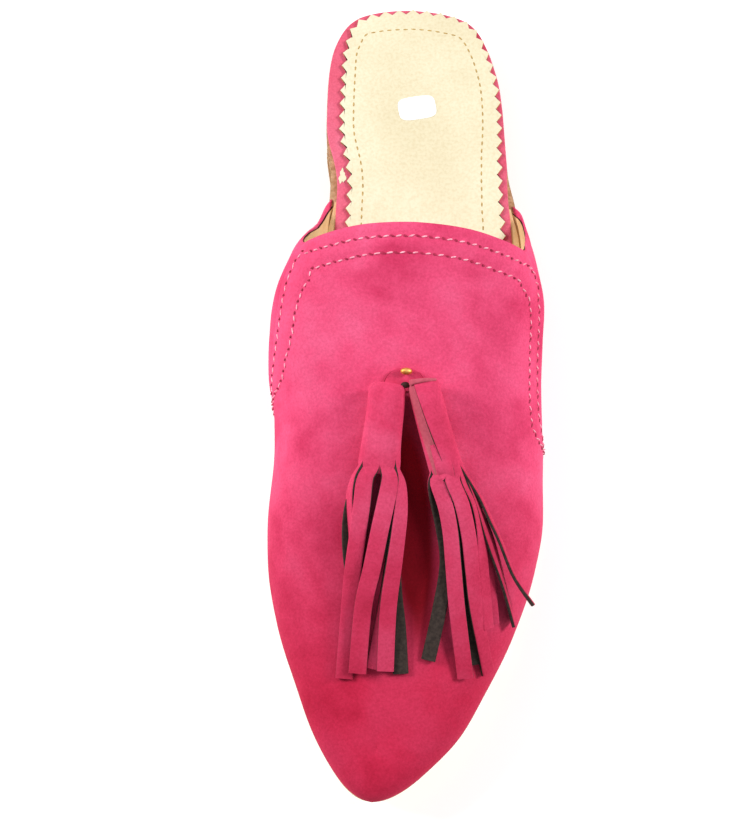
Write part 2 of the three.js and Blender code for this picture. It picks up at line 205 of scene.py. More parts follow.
def upper_at(station, rib, depth=0.0):
    """A point of the upper: station 0 is the top line and 1 the tip of the toe, rib -1 and 1 are
    the bottom edges of the inner and outer side, and depth is millimetres under the outer face."""
    sign = -1 if rib < 0 else 1
    side_out, side_up = SIDES[sign]
    t = min(abs(rib), 1)
    ridge_along = mix(THROAT, RIDGE_END, station)
    wing = max(1 - station / 0.35, 0) ** 2
    nose = max((station - 0.55) / 0.45, 0) ** 2
    foot_along = ridge_along - (THROAT - WING_END) * wing
    foot_along += (LENGTH - FEATHER_INSET - RIDGE_END) * nose
    fan = smooth(0.4, 0.55, station)
    wing_along = mix(ridge_along, foot_along, top_line(t))
    section = mix(wing_along, foot_along, fan)
    crown_along = mix(wing_along, ridge_along, fan)
    tip = foot_along >= LENGTH - FEATHER_INSET - 1e-6
    foot_half = 0 if tip else max(half(section + FEATHER_INSET * nose) - FEATHER_INSET, 0)
    foot = middle(section) + sign * foot_half
    crown = ridge_across(crown_along)
    run = math.hypot(foot - crown, (foot_along - ridge_along) * fan)
    out = side_out(section)
    low = sole_top(section) + GAP
    widest = low + side_up(section)
    high = ridge_height(crown_along) - depth
    power = 2 / fullness(crown_along)
    if t <= BULGE_SHARE:
        turn = math.pi / 2 * t / BULGE_SHARE
        reach = (run + out) * math.sin(turn) ** power
        height = widest + (high - widest) * max(math.cos(turn), 0) ** power
    else:
        turn = TUCK * (t - BULGE_SHARE) / (1 - BULGE_SHARE)
        reach = run + out * (math.cos(turn) - math.cos(TUCK)) / (1 - math.cos(TUCK))
        height = widest - (widest - low) * math.sin(turn) / math.sin(TUCK)
    share = reach * (1 - depth / (run + out)) / run
    along = mix(wing_along, mix(ridge_along, foot_along, share), fan)
    leaning = sign * lean[sign](t) * max(1 - station / 0.14, 0) ** 2
    return world(mix(crown, foot, share) + leaning, along, height)


def vamp_height(across, along):
    """Height of the vamp's outer face under a point seen from above."""
    crown = ridge_across(along)
    sign = -1 if across < crown else 1
    side_out, side_up = SIDES[sign]
    reach = abs(middle(along) + sign * (half(along) - FEATHER_INSET) - crown) + side_out(along)
    power = 2 / fullness(along)
    turn = math.asin(min(abs(across - crown) / reach, 0.94) ** (1 / power))
    widest = sole_top(along) + GAP + side_up(along)
    return widest + (ridge_height(along) - widest) * math.cos(turn) ** power


# ---- modelling ----
def linked(name, data):
    """An object of the scene with this mesh, lamp or camera."""
    made = bpy.data.objects.new(name, data)
    bpy.context.scene.collection.objects.link(made)
    return made


def modelled(name, bm, materials):
    """An object of the scene with this shape and its materials."""
    mesh = bpy.data.meshes.new(name)
    bm.to_mesh(mesh)
    bm.free()
    for material in materials:
        mesh.materials.append(material)
    return linked(name, mesh)


def finished(name, bm, materials, sharp=40, replaces=()):
    """Makes the mesh an object of the shoe, with its materials and its CAD body, and hides the CAD parts
    that it replaces, if any.
    """
    piece = modelled(name, bm, materials)
    piece.data.shade_smooth()
    piece.data.set_sharp_from_angle(angle=math.radians(sharp))
    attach(piece, "root")
    if replaces:
        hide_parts(*replaces)


def grid(columns, rows, put, thick=False, closed=False, paint=None, rim=0):
    """A sheet whose u runs -1..1 over its columns and whose v runs 0..1 over its rows. put(u, v,
    back) places each corner and paint(u, v) numbers the material of each face. A thick sheet gets
    a back face and a rim with its own material number, a closed one joins u -1 and 1."""
    bm = bmesh.new()
    u_of, v_of = bm.verts.layers.float.new("u"), bm.verts.layers.float.new("v")
    bmesh.ops.create_grid(bm, x_segments=columns, y_segments=rows, size=1.0)
    for vert in bm.verts:
        vert[u_of], vert[v_of] = vert.co.x, (vert.co.y + 1) / 2
    if paint:
        for face in bm.faces:
            middle_of_face = face.calc_center_median()
            face.material_index = paint(middle_of_face.x, (middle_of_face.y + 1) / 2)
    back = set()
    if thick:
        made = bmesh.ops.extrude_face_region(bm, geom=bm.faces[:], use_keep_orig=True)["geom"]
        back = {part for part in made if isinstance(part, bmesh.types.BMVert)}
        for face in bm.faces:
            if 0 < sum(vert in back for vert in face.verts) < len(face.verts):
                face.material_index = rim
    for vert in bm.verts:
        vert.co = put(vert[u_of], vert[v_of], vert in back)
    if closed:
        bmesh.ops.remove_doubles(bm, verts=bm.verts[:], dist=1e-6)
    return bm


def closed_up(bm, cap=0):
    """Merges what meets, fills what is open and turns every face outwards."""
    bmesh.ops.remove_doubles(bm, verts=bm.verts[:], dist=1e-6)
    bmesh.ops.dissolve_degenerate(bm, edges=bm.edges[:], dist=1e-7)
    rim = [edge for edge in bm.edges if edge.is_boundary]
    if rim:
        caps = bmesh.ops.holes_fill(bm, edges=rim, sides=0)["faces"]
        for face in caps:
            face.material_index = cap
        bmesh.ops.triangulate(bm, faces=caps, quad_method="BEAUTY", ngon_method="BEAUTY")
    bmesh.ops.recalc_face_normals(bm, faces=bm.faces[:])
    return bm


def joined(parts):
    """One mesh from several; each part is (mesh, material number), or None to keep its own."""
    whole = bmesh.new()
    for part, number in parts:
        if number is not None:
            for face in part.faces:
                face.material_index = number
        scrap = bpy.data.meshes.new("scrap")
        part.to_mesh(scrap)
        part.free()
        whole.from_mesh(scrap)
        bpy.data.meshes.remove(scrap)
    return whole


# ---- materials ----
def linear(colour):
    """An sRGB hex value as linear RGBA."""
    parts = [int(colour[i:i + 2], 16) / 255 for i in (1, 3, 5)]
    return tuple(c / 12.92 if c <= 0.04045 else ((c + 0.055) / 1.055) ** 2.4 for c in parts) + (1,)


def feed(material, target, inputs):
    """Sets a node's inputs: numbers, hex colours or other nodes' outputs. n3 is input number 3."""
    for key, value in inputs.items():
        numbered = key[0] == "n" and key[1:].isdigit()
        socket = target.inputs[int(key[1:]) if numbered else key.replace("_", " ")]
        if isinstance(value, bpy.types.NodeSocket):
            material.node_tree.links.new(value, socket)
        else:
            socket.default_value = linear(value) if isinstance(value, str) else value


def node(material, kind, output=0, settings=(), stops=(), **inputs):
    """Adds a node and gives one of its outputs; stops are a ramp's (place, hex colour)."""
    made = material.node_tree.nodes.new(kind)
    for key, value in dict(settings).items():
        setattr(made, key, value)
    for number, (place, colour) in enumerate(stops):
        marks = made.color_ramp.elements
        mark = marks[number] if number < len(marks) else marks.new(place)
        mark.position, mark.color = place, linear(colour)
    feed(material, made, inputs)
    return made.outputs[output]


def started(name, **shader):
    """A material with its shader's numbers set, and the piece's own place to hang patterns on."""
    made = bpy.data.materials.new(name)
    made.use_nodes = True
    bsdf = made.node_tree.nodes["Principled BSDF"]
    feed(made, bsdf, shader)
    return made, bsdf, node(made, "ShaderNodeTexCoord", 3)


def noise(material, place, size_mm, detail, rough=0.5, **inputs):
    """A soft noise whose lumps are about size_mm across."""
    inputs.update(Vector=place, Scale=1 / (2 * size_mm * MM), Detail=detail, Roughness=rough)
    return node(material, "ShaderNodeTexNoise", **inputs)


def ramp(material, share, *stops):
    """Colours laid along a share, as (place, hex colour)."""
    return node(material, "ShaderNodeValToRGB", stops=stops, Fac=share)


def times(material, share, under, over, blend="MULTIPLY"):
    """A colour darkened by a share of another, or else blended with it."""
    settings = {"data_type": "RGBA", "blend_type": blend}
    return node(material, "ShaderNodeMix", 2, settings, n0=share, n6=under, n7=over)


def forward(material, place, start, end):
    """How far on a place is between two places along the shoe, given as metres of Y."""
    y = node(material, "ShaderNodeSeparateXYZ", 1, Vector=place)
    return node(material, "ShaderNodeMapRange", Value=y, n1=start, n2=end)


def dressed(material, bsdf, colour, *bumps):
    """Gives the shader its colour and its bumps: (height, millimetres), each over the one before."""
    normal = {}
    for height, depth in bumps:
        bump = node(material, "ShaderNodeBump", Height=height, Distance=depth * MM, **normal)
        normal = {"Normal": bump}
    feed(material, bsdf, {"Base_Color": colour, **normal})
    return material


# Painted shade between the tassels: where its middle is, how it is turned and how far it goes.
TASSEL_SHADE_AT, TASSEL_SHADE_TURN, TASSEL_SHADE_REACH = (8.0, 188), math.radians(7), (0.0085, 0.044, 1)


def napped_suede(name, dark, main, pale, toe_shade="#FFFFFF", tassel_shade="#FFFFFF"):
    """Dyed goat suede, brushed by hand: the nap lies in soft patches, so the pink turns from deep
    to pale over a few centimetres. Painted shade darkens it towards the toe and between the tassels."""
    suede, bsdf, place = started(
        name, Roughness=0.92, Specular_IOR_Level=0.1, Sheen_Weight=0.08, Sheen_Roughness=0.5,
        Sheen_Tint="#FF9CB4",
    )
    patches = noise(suede, place, 15, 2.5, Distortion=0.5)
    cloud = noise(suede, place, 4, 3.0, 0.55)
    nap = noise(suede, place, 0.4, 3.0, 0.7)
    both = node(suede, "ShaderNodeMix", n0=0.3, n2=patches, n3=cloud)
    colour = ramp(suede, both, (0.36, dark), (0.5, main), (0.64, pale))
    colour = times(suede, 1.0, colour, ramp(suede, nap, (0.3, "#E6DADC"), (0.7, "#FFFFFF")))
    # Painted shade: the pink darkens towards the toe.
    colour = times(suede, forward(suede, place, -0.02, -0.1), colour, toe_shade)
    # A dark patch of painted shade between the tassels, fading out from its middle.
    between = node(
        suede, "ShaderNodeMapping", settings={"vector_type": "TEXTURE"}, Vector=place,
        Location=world(*TASSEL_SHADE_AT, 0), Rotation=(0, 0, TASSEL_SHADE_TURN), Scale=TASSEL_SHADE_REACH,
    )
    shade_gradient = node(suede, "ShaderNodeTexGradient", 1, {"gradient_type": "SPHERICAL"}, Vector=between)
    easing = {"interpolation_type": "SMOOTHSTEP"}
    share = node(suede, "ShaderNodeMapRange", settings=easing, Value=shade_gradient, n2=0.5)
    colour = times(suede, share, colour, tassel_shade)
    return dressed(suede, bsdf, colour, (cloud, 0.22), (nap, 0.09))


# Its last two colours are painted shade: towards the toe, and between the tassels.
VAMP_SUEDE = napped_suede(
    "fuchsia_goat_suede", "#D03A64", "#E44F7A", "#E95E88", "#D88C9E", "#963448"
)
RIM_SUEDE = napped_suede("fuchsia_wrap_suede", "#CC4862", "#D95F78", "#E0708A")
# Its last colour is painted shade towards the toe.
FRINGE_SUEDE = napped_suede("fuchsia_fringe_suede", "#C63458", "#D84068", "#E2547C", "#DCB8C0")
CUT_EDGE = napped_suede("cut_edge_of_suede", "#A8384E", "#BE5064", "#D07080")


def smooth_leather(name, dark, main, pale, rough):
    """Vegetable-tanned sheep lining, rolled smooth: a fine pebble and faint tan clouds under a low
    satin shine."""
    leather, bsdf, place = started(name, Roughness=rough, Specular_IOR_Level=0.35)
    clouds = noise(leather, place, 16, 3.0)
    pores = noise(leather, place, 0.5, 3.0, 0.6)
    colour = ramp(leather, clouds, (0.34, dark), (0.52, main), (0.68, pale))
    colour = times(leather, 0.6, colour, ramp(leather, pores, (0.3, "#EEE6DA"), (0.6, "#FFFFFF")))
    return dressed(leather, bsdf, colour, (clouds, 0.25), (pores, 0.04))


SOCK_LEATHER = smooth_leather("cream_sheep_sock_leather", "#D7CDAE", "#DDD4B7", "#E2DABF", 0.55)
LINING_LEATHER = smooth_leather("tan_sheep_lining_leather", "#C79C68", "#DDB886", "#EACDA2", 0.6)
LABEL = smooth_leather("white_blank_paper_label", "#F4F4F0", "#F9F9F6", "#FCFCFA", 0.4)


def layered_edge(name, dark, main, rough, fibre_mm, flat=1.0, depth=0.12):
    """A cut and inked edge of leather or board: pressed layers show as thin lines along the edge."""
    edge, bsdf, place = started(name, Roughness=rough, Specular_IOR_Level=0.3)
    flattened = node(edge, "ShaderNodeMapping", Vector=place, Scale=(1, 1, flat))
    fibres = noise(edge, flattened, fibre_mm, 4.0, 0.65)
    dots = noise(edge, place, 0.6, 2.0)
    colour = ramp(edge, fibres, (0.36, dark), (0.6, main))
    colour = times(edge, 0.6, colour, ramp(edge, dots, (0.3, "#C8BEB4"), (0.6, "#FFFFFF")))
    return dressed(edge, bsdf, colour, (fibres, depth), (dots, 0.05))


BROWN_EDGE = layered_edge("brown_inked_leather_edge", "#5A3418", "#80502C", 0.6, 3, 9)
TAN_FIBRE = layered_edge("tan_leather_board", "#A98058", "#CDA982", 0.85, 1.2, 2.5, 0.25)
ORANGE_EDGE = layered_edge("orange_brown_edge_ink", "#9C5E20", "#C4843A", 0.5, 3, 6)
# Dark edge cement; on the lining's rim it is also painted shade.
DARK_CEMENT_AND_SHADE = layered_edge("dark_edge_cement_and_shade", "#260E0A", "#43201A", 0.7, 2)
STRAND_BACK = layered_edge("grey_brown_flesh_side", "#281F1C", "#3A2F2A", 0.9, 0.5, depth=0.1)
ROLL_EDGE = napped_suede("brown_pink_cut_of_roll", "#B24A5C", "#C0586A", "#C86474")


def crepe_rubber():
    """Tan-brown crepe rubber, pressed with close ribs: dull, a little dusty, paler at the toe."""
    rubber, bsdf, place = started("tan_brown_crepe_rubber", Roughness=0.8, Specular_IOR_Level=0.3)
    clouds = noise(rubber, place, 5, 4.0)
    grit = noise(rubber, place, 0.7, 3.0)
    colour = ramp(rubber, clouds, (0.35, "#7C5834"), (0.62, "#A07A50"))
    pale = ramp(rubber, clouds, (0.35, "#E2CB98"), (0.62, "#F2E2BC"))
    # Paler towards the toe: partly the rubber's own lighter forepart, partly painted light; the darker
    # heel end is partly painted shade.
    colour = times(rubber, forward(rubber, place, 0.035, -0.02), colour, pale, "MIX")
    return dressed(rubber, bsdf, colour, (clouds, 0.3), (grit, 0.12))


OUTSOLE_RUBBER = crepe_rubber()


def waxed_thread(name, dark, main):
    """Waxed cotton thread: two plies twisted, dull with a faint wax shine."""
    cord, bsdf, place = started(name, Roughness=0.6, Specular_IOR_Level=0.35)
    twist = noise(cord, place, 0.35, 2.0)
    return dressed(cord, bsdf, ramp(cord, twist, (0.35, dark), (0.65, main)), (twist, 0.08))


PINK_THREAD = waxed_thread("pale_pink_waxed_thread", "#EC86A0", "#FABCCA")
# Tan thread for the sock's stitches, also the painted shadow line on the sock's cut edge.
TAN_THREAD_AND_EDGE_SHADE = waxed_thread("tan_waxed_thread_and_edge_shade", "#A08048", "#C0A060")
# Dark stitch holes, also the painted shadow line round the tassel tab.
STITCH_HOLE_AND_SHADOW_LINE = waxed_thread("dark_stitch_hole_and_shadow_line", "#8E1436", "#A81E46")


def polished_brass():
    """Brass bead, tumbled: warm and bright, a little dulled by handling."""
    brass, bsdf, place = started("polished_brass", Roughness=0.58, Metallic=1.0)
    wear = noise(brass, place, 0.8, 2.0)
    colour = ramp(brass, wear, (0.35, "#C8883A"), (0.65, "#F2C070"))
    return dressed(brass, bsdf, colour, (wear, 0.05))


BRASS = polished_brass()

# ---- the vamp: one panel of suede stitched over the quarters, down to the toe ----
# Its cut edge, from the middle of the throat round to the sole, on the inner and outer side.
PANEL_EDGE = {
    -1: table(
        "column rib station",
        (0, 0, 0), (0.34, 0.36, 0), (0.39, 0.405, 0.012), (0.43, 0.432, 0.045), (0.48, 0.452, 0.10),
        (0.54, 0.463, 0.157), (0.60, 0.485, 0.21), (0.66, 0.53, 0.255), (0.73, 0.61, 0.295),
        (0.81, 0.72, 0.325), (0.90, 0.86, 0.352), (1, 1, 0.375),
    ),
    1: table(
        "column rib station",
        (0, 0, 0), (0.36, 0.38, 0), (0.41, 0.425, 0.01), (0.45, 0.463, 0.045), (0.50, 0.487, 0.09),
        (0.56, 0.498, 0.16), (0.62, 0.50, 0.23), (0.68, 0.51, 0.295), (0.75, 0.575, 0.345),
        (0.83, 0.70, 0.385), (0.91, 0.85, 0.41), (1, 1, 0.43),
    ),
}
edge_rib = {side: column(rows, "rib", by="column") for side, rows in PANEL_EDGE.items()}
edge_station = {side: column(rows, "station", by="column") for side, rows in PANEL_EDGE.items()}
VAMP_THICK, QUARTER_DEPTH, LINING_DEPTH = 1.1, 1.15, 2.35
VAMP_COLUMNS, VAMP_ROWS = 150, 150
OUTER_ROW = 4.2  # of stitches, in from the cut edge
INNER_ROW = table("column offset", (0, 9.6), (0.36, 9.6), (0.46, 11.8), (0.66, 11.8), (1, 9.5))
STITCH_PITCH = 3.7
SEAM_PLACES = 420

# Soft troughs (depth under 0) and ridges, worn in by the last and by hand: where their middle is,
# how long they are, how wide, and how they are turned from straight across.
CREASES = table(
    "across along length width depth turn",
    (-22, 122, 20, 7, -0.4, 70), (26, 126, 22, 7, -0.35, -75), (4, 118, 22, 8, 0.3, 4),
    (-14, 134, 16, 6, -0.3, 30), (20, 140, 18, 6, -0.3, -28), (4, 132, 18, 7, -0.25, 0),
    (-24, 168, 20, 7, -0.4, 60), (-27, 190, 18, 7, 0.35, 55), (32, 176, 18, 7, -0.35, -62),
    (3, 200, 26, 9, -0.3, 8), (-14, 214, 16, 7, 0.3, 40), (18, 222, 16, 7, -0.25, -40),
    (-4, 240, 14, 6, 0.25, 5), (6, 246, 8, 5, -0.2, -20), (4, 149, 7, 5, -0.6, 0),
)


def panel_at(u, v, back):
    sign = -1 if u < 0 else 1
    v = 1 - (1 - v) ** 1.25
    rib = mix(edge_rib[sign](abs(u)), abs(u), smooth(0, 0.5, v))
    station = mix(edge_station[sign](abs(u)), 1, v)
    return upper_at(station, sign * rib, VAMP_THICK if back else 0)


def relief(point):
    """Height of the creases over the smooth vamp, in millimetres."""
    across = point.x / MM - ACROSS_SHIFT
    along = LENGTH / 2 + ALONG_SHIFT - point.y / MM
    total = 0.0
    for row in CREASES:
        turn = math.radians(row["turn"])
        dx, dy = across - row["across"], along - row["along"]
        lengthwise = (dx * math.cos(turn) + dy * math.sin(turn)) / row["length"]
        sideways = (dy * math.cos(turn) - dx * math.sin(turn)) / row["width"]
        total += row["depth"] * math.exp(-2 * lengthwise ** 2 - sideways ** 2)
    return total


def without_tip_rim(bm):
    """At the tip of the toe the two sides meet, so the rim there is taken out before they join."""
    v_of = bm.verts.layers.float["v"]
    rim = [face for face in bm.faces if all(vert[v_of] > 1 - 1e-6 for vert in face.verts)]
    bmesh.ops.delete(bm, geom=rim, context="FACES_ONLY")
    return closed_up(bm)


smooth_vamp = grid(VAMP_COLUMNS, VAMP_ROWS, panel_at)
vamp_tree = BVHTree.FromBMesh(smooth_vamp)
smooth_vamp.free()


def on_vamp(point, lift=0.0):
    """The nearest place on the vamp, lifted off it, and the direction out of it."""
    place, normal, _, _ = vamp_tree.find_nearest(point)
    along = LENGTH / 2 + ALONG_SHIFT - place.y / MM
    inside = world(ridge_across(along), along, sole_top(along) + 4)
    if normal.dot(place - inside) < 0:
        normal = -normal
    return place + normal * lift * MM, normal


def on_worn(point, lift=0.0):
    """The place on the creased vamp over or under a point of the smooth one, lifted off it."""
    place, normal = on_vamp(point)
    hit = worn_tree.ray_cast(place + normal * 2 * MM, -normal, 4 * MM)[0] or place
    return hit + normal * lift * MM, normal


def evenly(points, pitch, start=0.0):
    """Places on a line of points, pitch apart, with the direction of the line there."""
    places, travelled, wanted = [], 0.0, start
    for a, b in zip(points, points[1:]):
        step = (b - a).length / MM
        while step > 0 and travelled + step >= wanted:
            places.append((a.lerp(b, (wanted - travelled) / step), (b - a).normalized()))
            wanted += pitch
        travelled += step
    return places


def going(line, way):
    """Which places of a line keep going its way, so that it can be cut where it crosses itself."""
    last, keeps = None, []
    for spot, run in line:
        keeps.append(last is None or (spot - last).dot(run) * way > 0)
        last = spot if keeps[-1] else last
    return keeps


def seam_line(offset):
    """A line on the vamp, in from the panel's cut edge by offset(column) millimetres."""
    line = []
    edge = [panel_at(mix(-1, 1, k / SEAM_PLACES), 0, False) for k in range(SEAM_PLACES + 1)]
    for k in range(1, SEAM_PLACES):
        now = mix(-1, 1, k / SEAM_PLACES)
        place, normal = on_vamp(edge[k])
        run = (edge[k + 1] - edge[k - 1]).normalized()
        inward = normal.cross(run).normalized()
        ahead = upper_at(min(edge_station[-1 if now < 0 else 1](abs(now)) + 0.25, 1), 0)
        if inward.dot(ahead - edge[k]) < 0:
            inward = -inward
        line.append((on_vamp(place + inward * offset(abs(now)) * MM)[0], run))
    onward, backward = going(line, 1), going(line[::-1], -1)[::-1]
    return [spot for (spot, _), a, b in zip(line, onward, backward) if a and b]


inner_row = column(INNER_ROW, "offset", by="column")
seams = [seam_line(lambda now: OUTER_ROW), seam_line(inner_row)]
seam_points = [place for line in seams for place, _ in evenly(line, 0.5)]
seam_near = KDTree(len(seam_points))
for number, place in enumerate(seam_points):
    seam_near.insert(place, number)
seam_near.balance()

vamp = grid(VAMP_COLUMNS, VAMP_ROWS, panel_at, thick=True, rim=1)
vamp = without_tip_rim(vamp)
SEAM_TROUGH, SEAM_REACH = 0.34, 1.3  # how deep the rows sink in, and how far beside them
for vert in list(vamp.verts):
    if vamp_tree.find_nearest(vert.co)[3] > 0.05 * MM:  # on the back of the panel
        continue
    distance = seam_near.find(vert.co)[2] / MM
    shift = relief(vert.co) - SEAM_TROUGH * math.exp(-(distance / SEAM_REACH) ** 2)
    vert.co = vert.co + on_vamp(vert.co)[1] * shift * MM
worn_tree = BVHTree.FromBMesh(vamp)
finished("vamp", vamp, [VAMP_SUEDE, CUT_EDGE], 50, replaces=("upper",))


# ---- the quarters, which end as wings beside the heel, and the lining ----
WING_THINNED = 1.65  # the wings are skived: their lining comes out further than their suede
covered_to = {side: column(rows[1:], "rib", by="station") for side, rows in PANEL_EDGE.items()}


def bared(station, rib):
    """How far the wall under the vamp comes out to the outer face, where the panel leaves it bare."""
    share = smooth(0.012, 0.06, abs(rib) - covered_to[-1 if rib < 0 else 1](station))
    return (QUARTER_DEPTH - 0.1) * share * (1 - smooth(0.36, 0.44, station))


def quarter_at(sign):
    def put(u, v, back):
        station = 0.5 * v ** 1.1
        rib = sign * mix(0.36, 1, (u + 1) / 2)
        comes_out = bared(station, rib)
        if back:
            return upper_at(station, rib, LINING_DEPTH - 0.03 - WING_THINNED * comes_out)
        return upper_at(station, rib, QUARTER_DEPTH - comes_out)
    return put


for name, sign in (("quarter_medial", -1), ("quarter_lateral", 1)):
    quarter = closed_up(grid(56, 70, quarter_at(sign), thick=True))
    finished(name, quarter, [VAMP_SUEDE])

LINING_THICK, LINING_SET_BACK = 0.6, 0.008  # the lining's edge stands a little inside the suede's


def lining_at(u, v, back):
    station = mix(LINING_SET_BACK, 0.95, v)
    under_quarter = smooth(0.30, 0.36, abs(u)) * (1 - smooth(0.42, 0.5, station))
    outer = mix(VAMP_THICK + 0.05, LINING_DEPTH - WING_THINNED * bared(station, u), under_quarter)
    return upper_at(station, u, outer + LINING_THICK if back else outer)


# The lining's rim is near black: partly edge cement, partly painted shade in the gap between the lining's
# edge and the suede's.
lining = closed_up(grid(96, 80, lining_at, thick=True, rim=1))
finished("lining", lining, [LINING_LEATHER, DARK_CEMENT_AND_SHADE])


# ---- sole, insole and sock ----
def on_outline(share):
    """A place on the sole's outline as (across, along, side), from the heel round the inner side."""
    turn = 2 * math.pi * share
    along = LENGTH * (1 - math.cos(turn)) / 2
    sign = -1 if math.sin(turn) > 0 else 1
    return middle(along) + sign * half(along), along, sign


OUTLINE_PLACES = 1600
bare_outline = [on_outline(k / OUTLINE_PLACES) for k in range(OUTLINE_PLACES)]


def inset_loop(inset, count):
    """count places round the outline, inset from it, each with its direction to the middle."""
    loop, total = [], OUTLINE_PLACES
    for k, (across, along, sign) in enumerate(bare_outline):
        ahead, behind = bare_outline[(k + 3) % total], bare_outline[k - 3]
        run = Vector((ahead[0] - behind[0], ahead[1] - behind[1])).normalized()
        inward = Vector((run.y, -run.x))
        place = Vector((across, along)) + inward * inset(along, sign)
        loop.append((place, inward))
    lengths = [0.0]
    for k in range(total):
        lengths.append(lengths[-1] + (loop[(k + 1) % total][0] - loop[k][0]).length)
    places, k = [], 0
    for number in range(count):
        wanted = lengths[-1] * number / count
        while lengths[k + 1] < wanted:
            k += 1
        share = (wanted - lengths[k]) / (lengths[k + 1] - lengths[k])
        a, b = loop[k], loop[(k + 1) % total]
        places.append((a[0].lerp(b[0], share), a[1].lerp(b[1], share).normalized()))
    return places


def slab(inset, bottom, top, soft=0.3, count=320, wave=None, until=None, since=None):
    """A layer of the sole: the outline less an inset, between two heights, its edges rounded. It
    can stop at a place along the shoe, or start at one."""
    places = inset_loop(inset, count)
    arc = ((soft, 0), (soft * 0.3, soft * 0.3), (0, soft))
    shares = (0.3, 0.55, 0.8, 0.94)
    rings = [(share, soft, 1, 0) for share in shares]
    rings += [(1, off, 1, drop) for off, drop in arc] + [(1, 0, 0.5, 0)]
    rings += [(1, off, 0, -drop) for off, drop in reversed(arc)]
    rings += [(share, soft, 0, 0) for share in reversed(shares)]

    def put(u, v, back):
        number = round((u + 1) / 2 * count) % count
        share, off, level, drop = rings[round(v * (len(rings) - 1))]
        place, inward = places[number]
        extra = off + (wave(number, place, level) if wave and share == 1 else 0)
        edge = place + inward * extra
        spine_along = clamp(place.y, 34, 222)
        spot = Vector((middle(spine_along), spine_along)).lerp(edge, share)
        low, high = bottom(spot.y), top(spot.y)
        high = max(high, low + 0.05)
        drop = math.copysign(min(abs(drop), (high - low) * 0.45), drop)
        return world(spot.x, spot.y, mix(low, high, level) - drop)

    layer = closed_up(grid(count, len(rings) - 1, put, closed=True))
    for cut, side in ((until, -1), (since, 1)):
        if cut:
            bmesh.ops.bisect_plane(
                layer, geom=layer.verts[:] + layer.edges[:] + layer.faces[:], dist=1e-7,
                plane_co=world(0, cut, 0), plane_no=(0, side, 0), clear_outer=True,
            )
            closed_up(layer)
    return layer


RIB_COUNT = 380  # ribs pressed into the edge of the outsole
HEEL_LAYERS_END, MIDSOLE_END = 158, 176  # along the shoe


def edge_ribs(number, place, level):
    """The outsole's ribs, which fade out forward of the waist, and its slightly uneven trim."""
    heel = 1 - smooth(120, 160, place.y)
    uneven = 0.18 * math.sin(number * 0.021) + 0.12 * math.sin(number * 0.057 + 1)
    return (0.16 * (number % 4 in (0, 1)) + uneven) * heel


def plain(value):
    return lambda along, sign: value


finished(
    "outsole_rubber", slab(plain(0.1), sole_bottom, outsole_top, 0.35, RIB_COUNT * 4, edge_ribs),
    [OUTSOLE_RUBBER], 50, replaces=("outsole",),
)
finished(
    "midsole_lower_leather", slab(plain(0.55), outsole_top, lower_top, 0.25, until=HEEL_LAYERS_END),
    [BROWN_EDGE], replaces=("midsole_lower",),
)
# The light wedge is split at the waist by a thin brown feather, with a light line under it.
FEATHER_START, FEATHER_FULL, FEATHER_END, FEATHER_THICK = 62, 96, 150, 1.5


def feather_low(along):
    return mix(lower_top(along), wedge_top(along), 0.28)


def feather_high(along):
    thick = FEATHER_THICK * smooth(FEATHER_START, FEATHER_FULL, along) * stack(along) ** 0.5
    return min(feather_low(along) + thick + 0.06, wedge_top(along) - 0.06)


finished(
    "heel_wedge_board", slab(plain(0.35), lower_top, wedge_top, 0.3, until=HEEL_LAYERS_END),
    [TAN_FIBRE], replaces=("heel_wedge",),
)
finished(
    "wedge_feather", slab(
        plain(0.22), feather_low, feather_high, 0.1, until=FEATHER_END, since=FEATHER_START + 2,
    ), [BROWN_EDGE],
)

midsole = slab(plain(0.45), wedge_top, sole_top, 0.25, until=MIDSOLE_END)
for face in midsole.faces:
    face.material_index = int(face.normal.z > 0.6)
finished(
    "midsole_upper_leather", midsole, [BROWN_EDGE, TAN_FIBRE],
    replaces=("midsole_upper",),
)
finished(
    "midsole_toe_leather", slab(plain(0.3), wedge_top, sole_top, 0.25, since=MIDSOLE_END - 0.05),
    [ORANGE_EDGE],
)


def insole_inset(along, sign):
    nipped = smooth(46, WING_END, along) if sign < 0 else smooth(59, WING_END + 2, along)
    return 0.7 + 2.3 * nipped + 0.9 * smooth(WING_END + 4, 112, along)


finished(
    "insole_suede_wrap", slab(insole_inset, lambda a: sole_top(a) + 0.02, insole_top, 0.9, 400),
    [RIM_SUEDE], replaces=("insole_board",),
)

# The quarters' lining is turned in under the insole: a tan step between the two.
turned_in = slab(
    lambda along, sign: 2.3 - 1.5 * smooth(74, 88, along), lambda a: sole_top(a) + 0.05,
    lambda a: insole_top(a) - mix(1.6, 0.7, smooth(75, 82, a)), 0.2, 240, until=128, since=75,
)
finished("lining_turned_in", turned_in, [LINING_LEATHER])

SOCK_EDGE = table(
    "along medial lateral",
    (0, 0.7, 0.5), (6, 1.4, 0.4), (14, 3.0, 0.3), (30, 4.3, 0.4), (46, 4.2, 0.8), (60, 3.4, 1.7),
    (75, 3.3, 1.8), (90, 3.5, 2.4), (120, 3.6, 3.0), (LENGTH, 3.6, 3.6),
)
sock_edge = on_sides(SOCK_EDGE)
TOOTH_DEPTH, SOCK_THICK = 1.8, 0.95
TEETH = 116


def sock_inset(along, sign):
    return insole_inset(along, sign) + sock_edge[sign](along)


def teeth(number, place, level):
    return TOOTH_DEPTH * (number % 2)


def sock_top(along):
    return insole_top(along) + SOCK_THICK


sock = slab(sock_inset, lambda a: insole_top(a) + 0.02, sock_top, 0.12, TEETH * 2, teeth)
